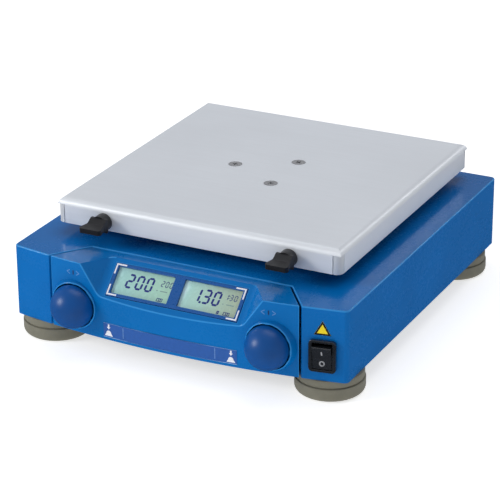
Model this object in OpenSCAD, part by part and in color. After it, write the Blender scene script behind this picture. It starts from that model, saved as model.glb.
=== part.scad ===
// Orbital shaker with a flat tray platform. Millimetres, +Z up, front faces -Y.
// The origin is at the middle of the footprint, on the surface that the feet stand on.

/* [Housing] */
// Width of the housing, left to right
body_w = 264; // [256:1:270]
// Depth of the straight sides of the housing
body_d = 276; // [270:1:300]
// Height of the housing's walls
body_h = 54; // [52:0.5:58]
// How far the middle of the front bows out past its corners
bow = 13; // [9:0.5:16]
// Radius of the housing's upright edges
corner_r = 4; // [2:0.5:6]
// Wall thickness of the housing and the control panel
wall = 3; // [2.5:0.1:3.5]
// Height of a rubber foot
foot_h = 16.5; // [14:0.5:25]
// Radius of a rubber foot
foot_r = 25; // [20:0.5:26]

/* [Control panel] */
// Width of the panel between the middles of its two front seams
panel_w = 198; // [194:1:204]
// Width of the panel along its straight rear edge
panel_back_w = 158; // [150:1:170]
// Depth of the panel behind the front corners
panel_back = 21; // [18:0.5:24]
// Width of the seam around the panel
seam = 1.5; // [1:0.1:2]
// Slope of the display recess, in degrees from level
slope = 44; // [40:1:50]
// Half width of the recess floor
recess_half = 57; // [55:0.5:60]
// Distance from the centre line to a knob's axis
knob_x = 77.2; // [74:0.1:79]
// Height of the knob axes above the table
knob_z = 37.8; // [36:0.1:39]
// Radius of a knob's dome
knob_r = 16.1; // [14:0.1:17]
// How far a knob can be pushed in
knob_push = 1.5; // [0.5:0.1:1.8]

/* [Power switch] */
// Distance from the centre line to the power switch
switch_x = 114.8; // [110:0.1:118]
// Height of the middle of the power switch
switch_z = 35.8; // [33:0.1:45]
// Tilt of the rocker to each side of its middle position, in degrees
rocker_tilt = 9; // [4:0.5:10]

/* [Platform] */
// Width of the platform tray, left to right
plate_w = 226; // [216:1:232]
// Depth of the platform tray, front to back
plate_d = 234; // [224:1:240]
// Height of the platform's top face above the table
plate_top = 98; // [96:0.5:100]
// Height of the tray's folded flanges
plate_drop = 18.5; // [17:0.5:19]
// Thickness of the tray's sheet
sheet = 2; // [1.5:0.1:2.5]
// Radius of the circle that every point of the platform moves on
orbit_r = 2; // [1:0.5:2]
// Circle through the three platform screws
screw_pcd = 55; // [50:1:60]
// Distance from the platform's middle to a clamp lever
lever_x = 73.8; // [60:0.1:90]

/* [Drive] */
// Distance from the front corners to the drive axis
drive_back = 150; // [146:1:154]
// Distance from the drive axis to each guide crank
guide_r = 82; // [80:1:84]
// Distance from the drive axis to the motor shaft
motor_back = 80; // [78:1:84]
// Radius of the belt on the motor pulley
motor_pulley_r = 12; // [10:0.5:14]
// Radius of the belt on the drive pulley
drive_pulley_r = 30; // [26:0.5:32]

/* [Hidden] */
$fn = 64;

fit = 0.05;            // radial clearance of a running fit
gap = 0.3;             // clearance between pieces that do not touch
knob_reach = 28.5;     // from the front corners to the tip of a knob
rear_reach = 6;        // from the rear wall to the end of the serial port
front_y = knob_reach - (knob_reach + body_d + rear_reach) / 2;
rear_y = front_y + body_d;
drive_y = front_y + drive_back;
body_top = foot_h + body_h;
floor_z = foot_h + wall;
bow_r = (pow(body_w / 2, 2) + bow * bow) / (2 * bow);
bow_fn = 720;          // the bow's circle is large, so it takes more steps

recess_y = -12.4;      // front edge of the recess floor, from the front corners
recess_z = 47;         // height of that edge
flank_run = 15.5;      // sideways run of a recess flank
flank_rise = 15;       // its rise, square to the recess floor
flank_blend = 7;       // radius between the recess floor and a flank
bezel_w = 104;
bezel_lo = 4.6;        // lower edge of the bezel, up the slope from the recess edge
bezel_hi = 30.1;
bezel_t = 1.9;
bezel_proud = 0.4;
window_in = 4;         // inner and outer edges of a display window, from the centre line
window_out = 49.2;
window_lo = 7;
window_hi = 27.8;
lcd_t = 4;

collar_y = -11.8;      // front face of a knob's collar, from the front corners
dome_y = -12.4;        // plane where a knob's dome starts
skirt_y = -8.6;        // rear face of a knob
well_y = skirt_y + knob_push + 1.1; // floor of the well that a knob is pushed into
bore_r = knob_r + 0.5;
shaft_r = 3;
encoder_d = 7.5;       // depth of an encoder's body
flat_x = 2.4;          // distance from the shaft's axis to its flat

foot_x = 110;
foot_y = [19.5, 248];  // feet, behind the front corners
boss_spots = [[-122, 52], [122, 52], [-122, 218], [122, 218], [-52, 266], [52, 266]];
panel_boss = [62, 15];

switch_size = [19.5, 23.7];
switch_proud = 3;
rocker_size = [13.6, 17.2];
rocker_axis_y = 3.4;
trunnion_r = 1.4;      // pins at the rocker's two ends

guide_spots = [
    [-guide_r * cos(30), guide_r * sin(30)], [guide_r * cos(30), guide_r * sin(30)], [0, -guide_r]
];
pulley_z = 46;
pulley_h = 9;
weight_z = 34;
weight_h = 9;
bridge_z = 57;
bridge_h = 8;
spindle_r = 6;
motor_r = 30;
pin_r = 5;
pin_z = 74;
guide_journal_r = 4;
bearing_z = 80;        // underside of the bearings in the carrier
flange_z = plate_top - plate_drop;
bend_r = 5.5;
post_r = 5.6;
lever_z = 86.2;
stud_r = 2.5;

inlet_x = -85;
inlet_z = 43;
pin_drop = 3.5;        // middle of the mains socket, below the middle of the inlet
drawer_rise = 10.8;    // middle of the fuse drawer, above it
inlet_screw_x = 20;    // its two screws, from its middle
serial_x = -15;
serial_z = 45;

// ---- shared shapes ----

module at_front() {
    translate([0, front_y, 0]) children();
}

module at_drive() {
    translate([0, drive_y, 0]) children();
}

module at_platform() {
    translate([-orbit_r, drive_y, 0]) children();
}

module along_y(from, to) {
    translate([0, to, 0]) rotate([90, 0, 0]) linear_extrude(to - from) children();
}

module upright(from, to) {
    translate([0, 0, from]) linear_extrude(to - from) children();
}

module ring(outer, inner, from, to) {
    upright(from, to) difference() {
        circle(outer);
        circle(inner);
    }
}

module box(size, at) {
    translate(at - size / 2) cube(size);
}

module both_sides() {
    children();
    mirror([1, 0, 0]) children();
}

module round_rect(size, r) {
    square([size[0] - 2 * r, size[1]], center = true);
    square([size[0], size[1] - 2 * r], center = true);
    for (x = [-1, 1], y = [-1, 1]) translate([x * (size[0] / 2 - r), y * (size[1] / 2 - r)]) circle(r);
}

// Bearing with grooves between its two rings; its axis is Z.
module bearing(outer, inner, from, h) {
    groove = (outer - inner) / 3;
    difference() {
        ring(outer, inner, from, from + h);
        ring(outer - groove, inner + groove, from - 1, from + 0.8);
        ring(outer - groove, inner + groove, from + h - 0.8, from + h + 1);
    }
}

// Screw with a cylindrical head and a hexagon socket; its head points down.
module cap_screw(shank, length, head, head_h) {
    difference() {
        union() {
            cylinder(r = shank, h = length);
            translate([0, 0, -head_h]) cylinder(r = head, h = head_h);
        }
        translate([0, 0, -head_h - 1]) cylinder(r = shank * 0.95, h = head_h * 0.6 + 1, $fn = 6);
    }
}

// Outline of the housing seen from above, moved in by an inset.
module footprint(inset = 0) {
    r = corner_r > inset ? corner_r - inset : 0.6;
    big = bow_r - inset;
    side = body_w / 2 - inset;
    centre_y = bow_r - bow;
    // the corner's circle stands a little outside the bow, so the two cross and don't just touch
    cross = 0.02;
    small_y = centre_y - sqrt(pow(big - r + cross, 2) - pow(side - r, 2));
    touch_x = (side - r) * big / (big - r);
    rear = body_d - inset;
    intersection() {
        translate([0, centre_y]) circle(big, $fn = bow_fn);
        union() {
            translate([-touch_x, -2 * bow]) square([2 * touch_x, body_d / 2 + 2 * bow]);
            translate([-side, small_y]) square([2 * side, rear - r - small_y]);
            translate([-side + r, body_d / 2]) square([2 * (side - r), rear - body_d / 2]);
            for (x = [-1, 1], y = [small_y, rear - r]) translate([x * (side - r), y]) circle(r);
        }
    }
}

// Outline of the control panel, moved in by an inset; its front runs past the bow.
module panel_outline(inset = 0) {
    run = (panel_w - panel_back_w) / 2;
    seam_y = front_edge_y(panel_w / 2);
    lean = run / (panel_back - seam_y);
    shift = inset * sqrt(1 + lean * lean);
    far = 30;
    polygon([
        [-panel_w / 2 + shift - lean * (far + seam_y), -far],
        [panel_w / 2 - shift + lean * (far + seam_y), -far],
        [panel_back_w / 2 - shift + lean * inset, panel_back - inset],
        [-panel_back_w / 2 + shift - lean * inset, panel_back - inset]
    ]);
}

function front_edge_y(x) = bow_r - bow - sqrt(bow_r * bow_r - x * x);

// Places children on the recess floor: X across, Y up the slope, Z out of the floor.
module on_slope() {
    translate([0, recess_y, recess_z]) rotate([slope, 0, 0]) children();
}

// The recess as a solid channel that runs up the slope; grow makes it larger all round.
module recess_channel(grow = 0) {
    reach = 60;
    lean = flank_run / flank_rise;
    side = grow * sqrt(1 + lean * lean);
    half = recess_half + side - grow * lean;
    angle = atan2(flank_rise, flank_run);
    blend = flank_blend + grow;
    back_off = blend * tan(angle / 2);
    on_slope() translate([0, reach, 0]) rotate([90, 0, 0]) linear_extrude(2 * reach) difference() {
        polygon([
            [-half - lean * 30, 30 - grow], [-half, -grow], [half, -grow], [half + lean * 30, 30 - grow]
        ]);
        for (s = [-1, 1]) difference() {
            polygon([
                [s * (half - back_off), -grow - 1], [s * (half + 2), -grow - 1],
                [s * (half + back_off * cos(angle)), -grow + back_off * sin(angle)],
                [s * (half - back_off), -grow]
            ]);
            translate([s * (half - back_off), -grow + blend]) circle(blend);
        }
    }
}

// ---- housing ----

module drive_holes(r_drive, r_guide, from, to) {
    at_drive() {
        upright(from, to) circle(r_drive);
        for (spot = guide_spots) translate(spot) upright(from, to) circle(r_guide);
    }
}

module switch_place() {
    angle = asin(switch_x / bow_r);
    at_front() translate([switch_x, front_edge_y(switch_x), switch_z]) rotate([0, 0, angle]) children();
}

module housing() {
    color("royalblue") difference() {
        union() {
            difference() {
                at_front() upright(foot_h, body_top) footprint();
                at_front() upright(foot_h - 1, body_top - wall) footprint(wall);
            }
            for (spot = boss_spots) at_front() translate(spot) upright(floor_z, body_top - wall) circle(5);
        }
        at_front() upright(foot_h - 1, body_top + 1) panel_outline(-seam / 2);
        for (spot = boss_spots) at_front() translate(spot) upright(floor_z - 1, body_top - 10) circle(1.6);
        drive_holes(13, 13, body_top - wall - 1, body_top + 1);
        switch_place() along_y(-20, 8) square([17, 22.2], center = true);
        translate([inlet_x, 0, inlet_z]) along_y(rear_y - 10, rear_y + 10) square([28, 31], center = true);
        for (x = [-inlet_screw_x, inlet_screw_x])
            translate([inlet_x + x, 0, inlet_z]) along_y(rear_y - 10, rear_y + 10) circle(1.6);
        translate([serial_x, 0, serial_z]) along_y(rear_y - 10, rear_y + 10) square([20, 11], center = true);
    }
}

module base_plate() {
    color("gainsboro") difference() {
        at_front() upright(foot_h, floor_z) footprint(wall + gap);
        for (spot = boss_spots) at_front() translate(spot)
            upright(foot_h - 1, floor_z + 1) circle(2.1);
        for (x = [-foot_x, foot_x], y = foot_y) at_front() translate([x, y])
            upright(foot_h - 1, floor_z + 1) circle(2.6);
        at_front() for (x = [-1, 1]) translate([x * panel_boss[0], panel_boss[1]])
            upright(foot_h - 1, floor_z + 1) circle(2.1);
    }
}

module foot(x, y) {
    color("darkkhaki") at_front() translate([x, y, 0]) difference() {
        rotate_extrude() difference() {
            union() {
                square([foot_r - 4, foot_h]);
                translate([0, 4]) square([foot_r, 6.5]);
                translate([foot_r - 4, 4]) circle(4);
                translate([0, 10]) square([foot_r - 0.8, foot_h - 10]);
            }
            translate([-2 * foot_r, -1]) square([2 * foot_r, foot_h + 2]);
            translate([foot_r - 1.6, 10.5]) square([3, 0.8]);
        }
        upright(-1, foot_h + 1) circle(2.6);
        upright(-1, 6) circle(6);
    }
}

module foot_front_left() {
    foot(-foot_x, foot_y[0]);
}

module foot_front_right() {
    foot(foot_x, foot_y[0]);
}

module foot_rear_left() {
    foot(-foot_x, foot_y[1]);
}

module foot_rear_right() {
    foot(foot_x, foot_y[1]);
}

module foot_screws() {
    color("silver") at_front() for (x = [-foot_x, foot_x], y = foot_y)
        translate([x, y, 6]) cap_screw(2.5, floor_z, 4.3, 3);
}

module foot_nuts() {
    color("silver") at_front() for (x = [-foot_x, foot_x], y = foot_y) translate([x, y, floor_z])
    difference() {
        cylinder(r = 4.6, h = 4, $fn = 6);
        translate([0, 0, -1]) cylinder(r = 2.5, h = 6);
    }
}

// Eight screws that hold the base plate, and two that hold the mains inlet.
module case_screws() {
    color("silver") {
        at_front() for (spot = concat(boss_spots, [panel_boss, [-panel_boss[0], panel_boss[1]]]))
            translate([spot[0], spot[1], foot_h]) cap_screw(1.6, 14, 3.5, 2.4);
        at_inlet() for (x = [-inlet_screw_x, inlet_screw_x])
            translate([x, 3, 0]) rotate([90, 0, 0]) cap_screw(1.6, 14, 3.5, 2.4);
    }
}

// ---- control panel ----

module knob_place(side) {
    translate([side * knob_x, 0, knob_z]) children();
}

module control_panel() {
    color("dodgerblue") at_front() difference() {
        union() {
            panel_shell();
            intersection() {
                panel_solid();
                difference() {
                    recess_channel(wall);
                    upright(foot_h - 1, foot_h + 20) square(400, center = true);
                }
            }
            both_sides() knob_place(1) knob_collar();
            both_sides() translate([panel_boss[0], panel_boss[1], 0])
                upright(floor_z + gap, body_top - 1) circle(4);
            on_slope() for (x = [-1, 1], y = [3.6, 30.8]) translate([x * 53.2, y, -5.6])
                cylinder(r = 2.4, h = 4);
        }
        recess_channel();
        upright(foot_h - 1, floor_z + gap) footprint(wall);
        on_slope() {
            box([bezel_w + gap, bezel_hi - bezel_lo + gap, 10],
                [0, (bezel_lo + bezel_hi) / 2, 5 - bezel_t + bezel_proud]);
            box([2 * window_out + 2.2, window_hi - window_lo + 2.6, 40], [0, (window_lo + window_hi) / 2, 0]);
        }
        both_sides() knob_place(1) {
            along_y(-40, well_y) circle(bore_r);
            along_y(-40, 20) circle(4.6);
        }
        both_sides() translate([panel_boss[0], panel_boss[1], 0])
            upright(floor_z - 1, floor_z + 16) circle(1.6);
    }
}

module panel_solid() {
    upright(foot_h, body_top) intersection() {
        footprint();
        panel_outline(seam / 2);
    }
}

module panel_shell() {
    difference() {
        panel_solid();
        upright(foot_h - 1, body_top - wall) intersection() {
            footprint(wall);
            panel_outline(seam / 2 + wall);
        }
        upright(foot_h - 1, body_top - wall) translate([-panel_back_w / 2 + 5, 0])
            square([panel_back_w - 10, 40]);
    }
}

// Conical collar around a knob; it stands out of the bowed front.
module knob_collar() {
    intersection() {
        translate([0, -3.4, 0]) rotate([90, 0, 0]) cylinder(r1 = 20.6, r2 = 17.6, h = -3.4 - collar_y);
        translate([-knob_x, 0, 0]) upright(-knob_r - 10, knob_r + 10) panel_outline(seam / 2);
    }
}

module display_bezel() {
    color("slateblue") at_front() on_slope() difference() {
        box([bezel_w, bezel_hi - bezel_lo, bezel_t],
            [0, (bezel_lo + bezel_hi) / 2, bezel_proud - bezel_t / 2]);
        for (x = [-1, 1]) box([window_out - window_in, window_hi - window_lo, 10],
            [x * (window_in + window_out) / 2, (window_lo + window_hi) / 2, 0]);
    }
}

// White angle marks on the four corners of the bezel.
module bezel_marks() {
    arm = 8;
    line = 1.1;
    print_t = 0.1;
    color("white") at_front() on_slope() for (x = [-1, 1], y = [bezel_lo, bezel_hi]) {
        inward = y == bezel_lo ? 1 : -1;
        translate([x * (bezel_w / 2 - 0.6), y + inward * 0.6, bezel_proud]) linear_extrude(print_t)
            polygon([
                [0, 0], [-x * arm, 0], [-x * arm, inward * line], [-x * line, inward * line],
                [-x * line, inward * arm], [0, inward * arm]
            ]);
    }
}

module lcd(side) {
    color("darkseagreen") at_front() on_slope()
        box([window_out - window_in + 1.4, window_hi - window_lo + 1.6, lcd_t],
            [side * (window_in + window_out) / 2, (window_lo + window_hi) / 2,
                bezel_proud - bezel_t - gap - lcd_t / 2]);
}

module lcd_left() {
    lcd(-1);
}

module lcd_right() {
    lcd(1);
}

module display_board() {
    top = bezel_proud - bezel_t - gap - lcd_t;
    color("darkgreen") at_front() on_slope() {
        box([112, 30, 1.6], [0, 17.2, top - 0.8]);
        box([14, 10, 2], [-28, 14, top - 2.6]);
        box([10, 10, 2], [4, 18, top - 2.6]);
        box([24, 5, 4], [30, 14, top - 3.6]);
    }
}

module main_board() {
    color("darkgreen") at_front() {
        box([112, 26, 1.6], [0, 37, 26]);
        box([14, 14, 2.4], [-20, 36, 28]);
        box([22, 5, 5], [30, 30, 29.3]);
        for (x = [-46, -38]) translate([x, 40, 26.8]) cylinder(r = 3, h = 10);
        for (x = [-52, 52], y = [28, 46]) translate([x, y, floor_z]) cylinder(r = 3, h = 25.2 - floor_z);
    }
}

// Flat cable from the display board down to the main board.
module ribbon_cable() {
    color("lightgrey") at_front() translate([20, 0, 0]) rotate([90, 0, 90]) linear_extrude(20)
        polygon([
            [6.6, 49.2], [15, 41], [20, 40], [27.4, 46], [29.2, 44], [29.2, 32], [30.4, 32],
            [30.4, 44.6], [27.6, 47.6], [20, 41.4], [15.6, 42.2], [7.5, 50]
        ]);
}

module label_strip() {
    proud = 0.2;
    color("darkslateblue") at_front() upright(18.6, 29.6) intersection() {
        difference() {
            translate([0, bow_r - bow]) circle(bow_r + proud, $fn = bow_fn);
            translate([0, bow_r - bow]) circle(bow_r, $fn = bow_fn);
        }
        translate([-53, -30]) square([106, 30]);
    }
}

module plain_sticker() {
    proud = 0.2;
    side = 12;
    rise = side * sin(60);
    color("gold") at_front() intersection() {
        upright(45, 65) difference() {
            translate([0, bow_r - bow]) circle(bow_r + proud, $fn = bow_fn);
            translate([0, bow_r - bow]) circle(bow_r, $fn = bow_fn);
        }
        translate([switch_x - 0.4, 0, 50.9]) along_y(-30, 0)
            polygon([[-side / 2, 0], [side / 2, 0], [0, rise]]);
    }
}

// ---- knobs and encoders ----

module knob(side) {
    skin = 2.4;
    skirt = skirt_y - dome_y;
    boss_r = 5.5;
    color("mediumblue") at_front() knob_place(side) translate([0, dome_y, 0]) rotate([90, 0, 0]) difference() {
        rotate_extrude() difference() {
            dome_profile(knob_r, skirt);
            difference() {
                dome_profile(knob_r - skin, skirt + 1);
                translate([0, -skirt]) square([boss_r, skirt + knob_r]);
            }
        }
        translate([0, 0, -skirt - 1]) linear_extrude(skirt + 1 + knob_r - skin - 2) d_round(shaft_r);
    }
}

// Half section of a dome on a straight skirt.
module dome_profile(r, skirt) {
    intersection() {
        circle(r);
        square(r);
    }
    translate([0, -skirt]) square([r, skirt]);
}

module d_round(r) {
    intersection() {
        circle(r);
        translate([-10, -10]) square([10 + flat_x + (r - shaft_r), 20]);
    }
}

module knob_left() {
    knob(-1);
}

module knob_right() {
    knob(1);
}

module encoder_shaft(side) {
    color("silver") at_front() knob_place(side) along_y(-24, encoder_d - 2.1) d_round(shaft_r);
}

module encoder_shaft_left() {
    encoder_shaft(-1);
}

module encoder_shaft_right() {
    encoder_shaft(1);
}

module encoder_rotor(side) {
    color("white") at_front() knob_place(side) along_y(1.2, 4.6) difference() {
        circle(5.2);
        d_round(shaft_r + fit);
    }
}

module encoder_rotor_left() {
    encoder_rotor(-1);
}

module encoder_rotor_right() {
    encoder_rotor(1);
}

// Rotary encoder with a push switch, soldered to its own small board.
module encoder(side) {
    color("dimgray") at_front() knob_place(side) difference() {
        union() {
            along_y(-3.4, 0) circle(4.4);
            along_y(0, encoder_d) square([13, 14], center = true);
            translate([-side * 6.5, 0, 0]) along_y(encoder_d, encoder_d + 1.6) square([24, 24], center = true);
        }
        along_y(-10, encoder_d - 0.3) circle(shaft_r + fit);
        along_y(0.9, 4.9) circle(5.5);
    }
}

module encoder_left() {
    encoder(-1);
}

module encoder_right() {
    encoder(1);
}

// ---- power switch ----

module switch_frame() {
    color([0.06, 0.06, 0.07]) switch_place() difference() {
        union() {
            along_y(-switch_proud, 0) round_rect(switch_size, 3);
            along_y(0, 18) square([16.6, 21.6], center = true);
        }
        along_y(-10, 15) square([14.2, 19.8], center = true);
        rocker_pivot(trunnion_r + fit, 20);
    }
}

module rocker_pivot(r, length) {
    translate([0, rocker_axis_y, 0]) rotate([90, 0, 90]) linear_extrude(length, center = true) circle(r);
}

// The rocker at rest is off: its upper edge stands out and its lower edge is pressed in.
module power_rocker() {
    half = rocker_size[1] / 2;
    color([0.1, 0.1, 0.11]) switch_place() {
        translate([0, rocker_axis_y, 0]) rotate([rocker_tilt, 0, 0])
            rotate([90, 0, 90]) linear_extrude(rocker_size[0], center = true) {
                circle(4.6);
                polygon([
                    [-7.4, half - 0.3], [-6.1, 0], [-7.4, -half + 0.3], [-6.6, -half], [-2, -half + 1],
                    [2, -4], [2, 4], [-2, half - 1], [-6.6, half]
                ]);
            }
        rocker_pivot(trunnion_r, 16);
    }
}

// ---- drive ----

module drive_frame() {
    color("lightsteelblue") at_drive() difference() {
        union() {
            upright(floor_z, floor_z + 4) circle(63);
            upright(floor_z, 33) circle(19);
            upright(bridge_z, bridge_z + bridge_h) circle(63);
            for (a = [30, 150, 270]) rotate(a) translate([57, 0]) upright(floor_z, bridge_z + 1) circle(5);
        }
        upright(25, 80) circle(14);
        upright(0, 80) circle(spindle_r + 2);
        translate([0, motor_back]) upright(floor_z - 1, floor_z + 5) circle(motor_r + gap);
        for (a = [90, 210, 330]) rotate(a) translate([42, 0]) upright(bridge_z - 1, 80) circle(12);
    }
}

module spindle_bearings() {
    color("silver") at_drive() for (z = [25, bridge_z]) bearing(14, spindle_r + fit, z, bridge_h);
}

module shaft_seals() {
    color([0.12, 0.12, 0.12]) at_drive() {
        ring(13, 8.4, body_top - wall, body_top + 0.6);
        for (spot = guide_spots) translate(spot) ring(13, 5.4, body_top - wall, body_top + 0.6);
    }
}

module crank_spindle() {
    color("lightgray") at_drive() {
        upright(24, bridge_z + bridge_h + 0.6) circle(spindle_r);
        upright(bridge_z + bridge_h + 0.6, pin_z) circle(8);
        translate([-orbit_r, 0]) upright(pin_z, bearing_z + 9) circle(pin_r);
    }
}

module drive_pulley() {
    color("darkgray") at_drive() {
        ring(drive_pulley_r, spindle_r, pulley_z, pulley_z + pulley_h);
        ring(drive_pulley_r + 2, spindle_r, pulley_z - 1, pulley_z);
    }
}

// Half ring opposite the eccentric pin, which balances the platform.
module counterweight() {
    color("goldenrod") at_drive() upright(weight_z, weight_z + weight_h) difference() {
        union() {
            circle(13);
            intersection() {
                circle(46);
                translate([0, -46]) square([46, 92]);
            }
        }
        circle(spindle_r);
    }
}

module guide_posts() {
    color("lightsteelblue") at_drive() for (spot = guide_spots) translate(spot) difference() {
        upright(floor_z, body_top - wall - gap) circle(15);
        upright(60, 80) circle(11);
        upright(50, 80) circle(guide_journal_r + 1);
    }
}

module guide_bearings_lower() {
    color("silver") at_drive() for (spot = guide_spots) translate(spot)
        bearing(11, guide_journal_r + fit, 60, 7);
}

module guide_crank(index) {
    color("lightgray") at_drive() translate(guide_spots[index]) {
        upright(52, pin_z - 1) circle(guide_journal_r);
        upright(body_top + 1.2, pin_z) circle(8);
        translate([-orbit_r, 0]) upright(pin_z - 1, bearing_z + 5.6) circle(guide_journal_r);
    }
}

module guide_crank_left() {
    guide_crank(0);
}

module guide_crank_right() {
    guide_crank(1);
}

module guide_crank_front() {
    guide_crank(2);
}

module motor_place() {
    at_drive() translate([0, motor_back, 0]) children();
}

module motor_can() {
    color("dimgray") motor_place() difference() {
        upright(floor_z, 43) circle(motor_r);
        upright(22, 40) circle(motor_r - 2);
        upright(floor_z + 1, 60) circle(shaft_r + fit);
    }
}

module motor_stator() {
    color("peru") motor_place() ring(motor_r - 2, 18, 24, 38);
}

module motor_rotor() {
    color("silver") motor_place() {
        upright(floor_z + 1.4, pulley_z + pulley_h + 2) circle(shaft_r);
        ring(17, shaft_r, 25, 37);
    }
}

module motor_pulley() {
    color("darkgray") motor_place() {
        ring(motor_pulley_r, shaft_r, pulley_z, pulley_z + pulley_h);
        ring(motor_pulley_r + 2, shaft_r, pulley_z - 1, pulley_z);
    }
}

// Outline of a belt's loop: two circles and the straight runs that touch both.
module belt_outline(grow) {
    small = motor_pulley_r + grow;
    large = drive_pulley_r + grow;
    tilt = asin((large - small) / motor_back);
    circle(large);
    translate([0, motor_back]) circle(small);
    polygon([
        [large * cos(tilt), large * sin(tilt)], [small * cos(tilt), motor_back + small * sin(tilt)],
        [-small * cos(tilt), motor_back + small * sin(tilt)], [-large * cos(tilt), large * sin(tilt)]
    ]);
}

module drive_belt() {
    color([0.1, 0.1, 0.1]) at_drive() upright(pulley_z + 0.5, pulley_z + pulley_h - 0.5) difference() {
        belt_outline(gap + 1.6);
        belt_outline(gap);
    }
}

// ---- platform ----

module carrier() {
    color("silver") at_platform() difference() {
        union() {
            upright(bearing_z - 1, plate_top - sheet) circle(18);
            upright(plate_top - sheet - 6, plate_top - sheet) {
                circle(36);
                for (spot = guide_spots) rotate(atan2(spot[1], spot[0])) translate([0, -9])
                    square([guide_r, 18]);
            }
            for (spot = guide_spots) translate(spot) upright(bearing_z - 1, plate_top - sheet) circle(12);
            for (a = [60, 180, 300]) rotate(a) translate([screw_pcd / 2, 0])
                upright(84, plate_top - sheet) circle(6);
        }
        upright(0, bearing_z + 8) circle(13);
        upright(0, bearing_z + 11) circle(pin_r + 2);
        for (spot = guide_spots) translate(spot) {
            upright(0, bearing_z + 5) circle(8);
            upright(0, bearing_z + 7) circle(guide_journal_r + 1);
        }
        for (a = [60, 180, 300]) rotate(a) translate([screw_pcd / 2, 0]) upright(86, 100) circle(2.5);
    }
}

module eccentric_bearing() {
    color("silver") at_platform() bearing(13, pin_r + fit, bearing_z, 8);
}

module guide_bearings_upper() {
    color("silver") at_platform() for (spot = guide_spots) translate(spot)
        bearing(8, guide_journal_r + fit, bearing_z, 5);
}

// Profile of a folded sheet: a rectangle with two round upper corners.
module fold_profile(w, h, r) {
    translate([-w / 2, 0]) square([w, h - r]);
    translate([-w / 2 + r, 0]) square([w - 2 * r, h]);
    for (x = [-1, 1]) translate([x * (w / 2 - r), h - r]) circle(r);
}

module tray_block(w, d, h, r) {
    intersection() {
        along_y(-d / 2, d / 2) fold_profile(w, h, r);
        rotate(90) along_y(-w / 2, w / 2) fold_profile(d, h, r);
    }
}

module platform() {
    notch = post_r + 0.7;
    color("lightgray") at_platform() difference() {
        translate([0, 0, flange_z]) difference() {
            tray_block(plate_w, plate_d, plate_drop, bend_r);
            translate([0, 0, -1])
                tray_block(plate_w - 2 * sheet, plate_d - 2 * sheet, plate_drop - sheet + 1, bend_r - sheet);
        }
        for (x = [-1, 1], y = [-1, 1]) translate([x * (plate_w - notch) / 2, y * (plate_d - notch) / 2, 0])
            upright(flange_z - 1, plate_top - bend_r + 1) square(notch + 0.01, center = true);
        for (a = [60, 180, 300]) rotate(a) translate([screw_pcd / 2, 0, 0]) {
            upright(90, 100) circle(2.7);
            translate([0, 0, plate_top - sheet]) cylinder(r1 = 2.7, r2 = 5.5, h = sheet + 0.01);
        }
        both_sides() translate([lever_x, 0, lever_z])
            along_y(-plate_d / 2 - 5, -plate_d / 2 + 5) circle(stud_r);
    }
}

// Rounded upright pieces that close the tray's corners between the flanges.
module corner_posts() {
    color("lightgray") at_platform() for (x = [-1, 1], y = [-1, 1])
        translate([x * (plate_w / 2 - post_r), y * (plate_d / 2 - post_r), 0])
            upright(flange_z, plate_top - bend_r + 0.8) intersection() {
                difference() {
                    circle(post_r);
                    circle(post_r - sheet);
                }
                translate([x * post_r / 2, y * post_r / 2]) square(post_r, center = true);
            }
}

module platform_screws() {
    color("silver") at_platform() for (a = [60, 180, 300]) rotate(a) translate([screw_pcd / 2, 0, 0])
    difference() {
        union() {
            upright(86.5, plate_top - sheet) circle(2.4);
            translate([0, 0, plate_top - sheet]) cylinder(r1 = 2.4, r2 = 5.2, h = sheet);
        }
        for (turn = [0, 90]) rotate(turn) box([4.4, 1, 3], [0, 0, plate_top]);
    }
}

module lever_studs() {
    color("silver") at_platform() both_sides() translate([lever_x, 0, lever_z]) {
        along_y(-plate_d / 2 - 7, -plate_d / 2 + sheet) circle(stud_r);
        along_y(-plate_d / 2 + sheet, -plate_d / 2 + sheet + 2.5) circle(5);
    }
}

// Clamp lever: a round hub on the stud and a flat blade that widens towards the hand.
module clamp_lever(side) {
    reach = 22;
    hub_r = 6.5;
    blade_t = 3.6;
    color([0.08, 0.08, 0.09]) at_platform() translate([side * lever_x, -plate_d / 2, lever_z]) difference() {
        union() {
            along_y(-8, -gap) circle(hub_r);
            intersection() {
                translate([0, 0, -hub_r]) linear_extrude(2 * hub_r) polygon([
                    [-hub_r, -6], [hub_r, -6], [hub_r, -12], [8.8, -reach + 2], [7.4, -reach],
                    [-7.4, -reach], [-8.8, -reach + 2], [-hub_r, -12]
                ]);
                rotate([90, 0, 90]) linear_extrude(30, center = true) polygon([
                    [-6, hub_r * 0.8], [-8, hub_r * 0.8], [-13, blade_t / 2 + 0.4], [-reach, blade_t / 2],
                    [-reach, -blade_t / 2], [-13, -blade_t / 2 - 0.4], [-8, -hub_r * 0.8], [-6, -hub_r * 0.8]
                ]);
            }
        }
        along_y(-7.4, 1) circle(stud_r + fit);
    }
}

module clamp_lever_left() {
    clamp_lever(-1);
}

module clamp_lever_right() {
    clamp_lever(1);
}

// ---- rear fittings ----

module at_inlet() {
    translate([inlet_x, rear_y, inlet_z]) children();
}

module socket_outline(grow) {
    w = 24.4 + 2 * grow;
    h = 16.4 + 2 * grow;
    cut = 4.5;
    polygon([
        [-w / 2, -h / 2], [w / 2, -h / 2], [w / 2, h / 2 - cut], [w / 2 - cut, h / 2],
        [-w / 2 + cut, h / 2], [-w / 2, h / 2 - cut]
    ]);
}

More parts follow.
